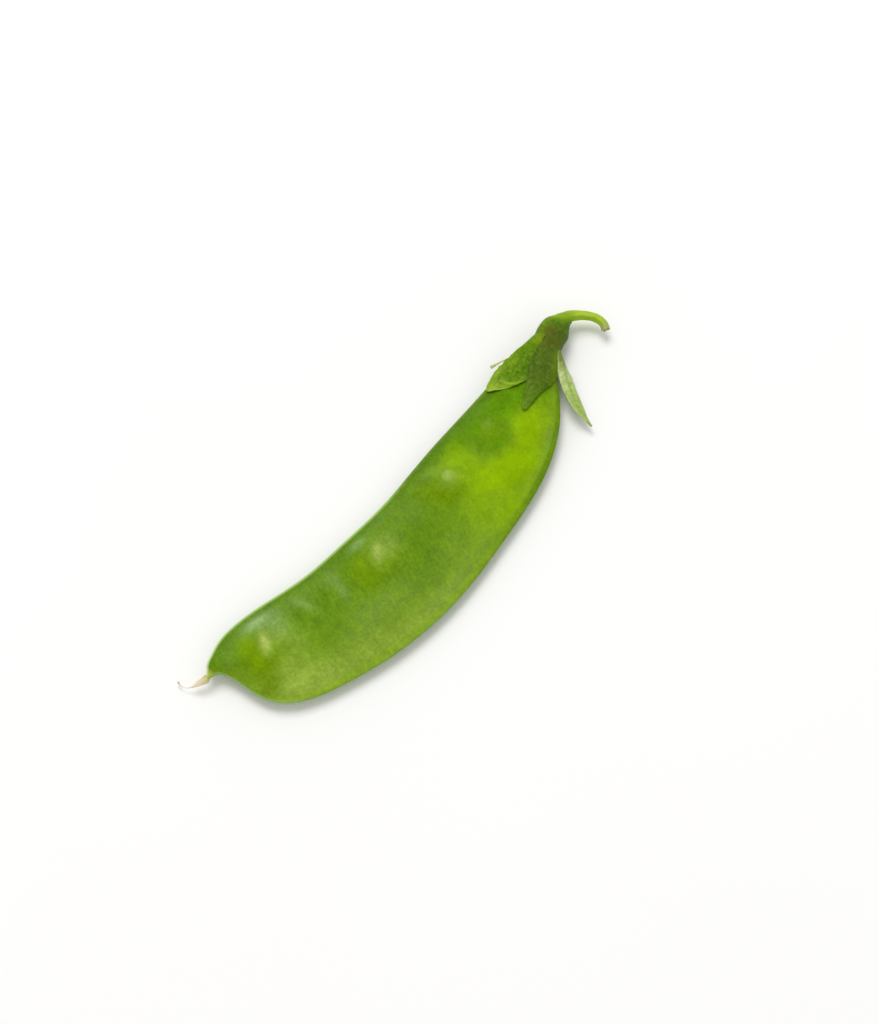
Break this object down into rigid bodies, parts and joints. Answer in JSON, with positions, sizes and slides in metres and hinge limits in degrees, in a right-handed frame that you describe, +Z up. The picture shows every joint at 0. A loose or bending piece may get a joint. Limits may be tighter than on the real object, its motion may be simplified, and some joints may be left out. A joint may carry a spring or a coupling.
{
  "type": "snow pea pod",
  "caption": "Flat edible pea pod as picked, with its leafy calyx, hooked stalk and dried style, lying on its side.",
  "frame": {"origin": "middle of the bounding box, on the surface that the pod rests on", "axes": "+X along the pod from its beak to the calyx and stalk, +Y towards the inner, seed-bearing seam, +Z up"},
  "size_m": [0.0978, 0.0253, 0.0059],
  "materials": {
    "pod_skin": "waxy satin plant skin",
    "calyx_green": "matt leaf",
    "calyx_pale": "matt leaf, pale",
    "stalk_green": "smooth plant stalk",
    "dried_thread": "dry, papery"
  },
  "bodies": {
    "root": {"pod": "pod_skin", "calyx_cup": "calyx_green", "sepal_upper_front": "calyx_green", "sepal_upper_back": "calyx_green", "sepal_side_front": "calyx_green", "sepal_side_back": "calyx_green", "sepal_lower_free": "calyx_pale", "stalk": "stalk_green", "style_thread": "dried_thread", "stamen_thread": "dried_thread"}
  },
  "joints": []
}
